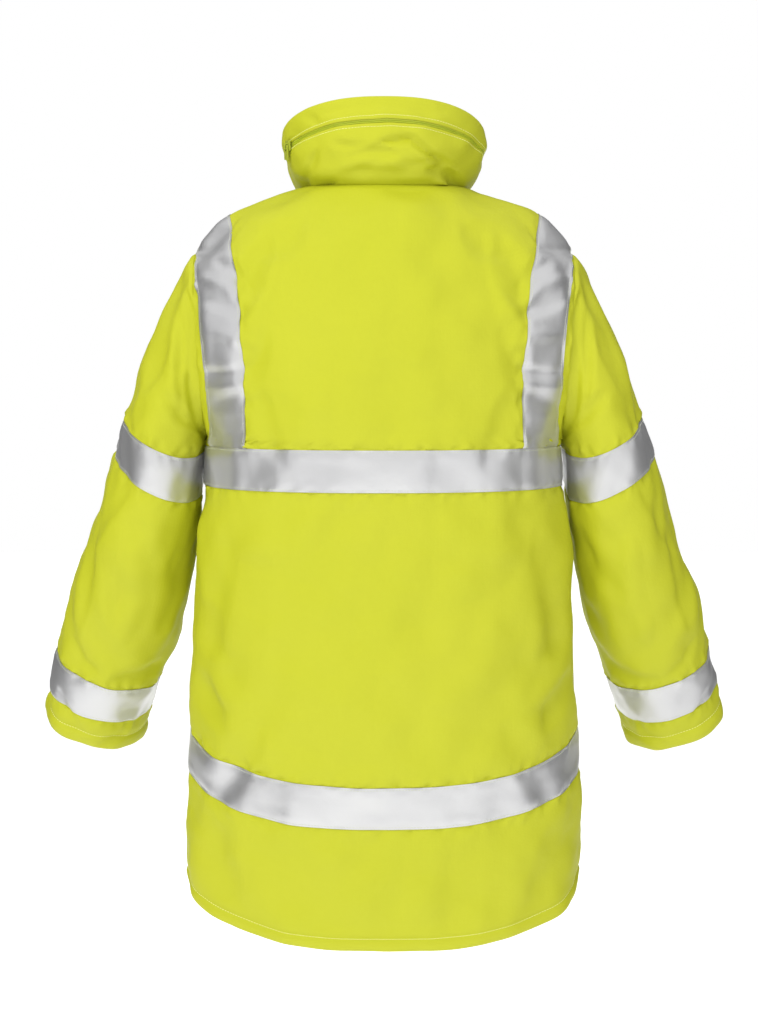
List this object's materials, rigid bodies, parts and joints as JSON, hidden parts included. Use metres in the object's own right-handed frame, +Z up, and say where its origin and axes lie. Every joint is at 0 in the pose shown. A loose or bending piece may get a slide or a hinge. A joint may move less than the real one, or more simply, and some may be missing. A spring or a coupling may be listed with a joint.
{
  "type": "high-visibility jacket",
  "caption": "Long padded high-visibility work jacket in fluorescent yellow with silver reflective bands, a zipped front and a stand collar that stows a hood.",
  "frame": {"origin": "middle of the neck opening, at the height of the neck seam at the centre back, where a hook or neck form holds it", "axes": "+Z up from hem to collar, -Y towards the front of the jacket, +X towards the wearer's left"},
  "size_m": [0.9064, 0.3104, 1.013],
  "materials": {
    "cloth": "woven, matt, fluorescent yellow",
    "tape": "silver retroreflective coating",
    "zip_teeth": "satin",
    "zip_metal": "satin"
  },
  "bodies": {
    "jacket": {"back_panel": "cloth", "front_left": "cloth", "front_right": "cloth", "sleeve_left": "cloth", "sleeve_right": "cloth", "collar_lower": "cloth", "collar_upper": "cloth", "collar_inner": "cloth", "shoulder_band_back_left": "tape", "shoulder_band_back_right": "tape", "shoulder_band_front_left": "tape", "shoulder_band_front_right": "tape", "chest_band_back": "tape", "chest_band_front_left": "tape", "chest_band_front_right": "tape", "hem_band_back": "tape", "hem_band_front_left": "tape", "hem_band_front_right": "tape", "sleeve_band_left": "tape", "sleeve_band_right": "tape", "cuff_band_left": "tape", "cuff_band_right": "tape", "collar_zip_strip": "cloth", "collar_zip_chain": "zip_teeth", "front_zip_strip": "cloth", "front_zip_chain": "zip_teeth", "collar_zip_slider": "zip_metal", "front_zip_slider": "zip_metal"},
    "collar_pull": {"collar_zip_pull": "zip_metal"},
    "front_pull": {"front_zip_pull": "zip_metal"}
  },
  "joints": [
    {"name": "collar_pull_swing", "type": "hinge", "parent": "jacket", "child": "collar_pull", "pos_m": [0.11976, 0.04384, 0.05276], "axis": [0.519, -0.816, 0.2546], "range_deg": [0, 150]},
    {"name": "front_pull_swing", "type": "hinge", "parent": "jacket", "child": "front_pull", "pos_m": [0, -0.11095, 0.02447], "axis": [-1, 0, 0], "range_deg": [0, 150]}
  ]
}
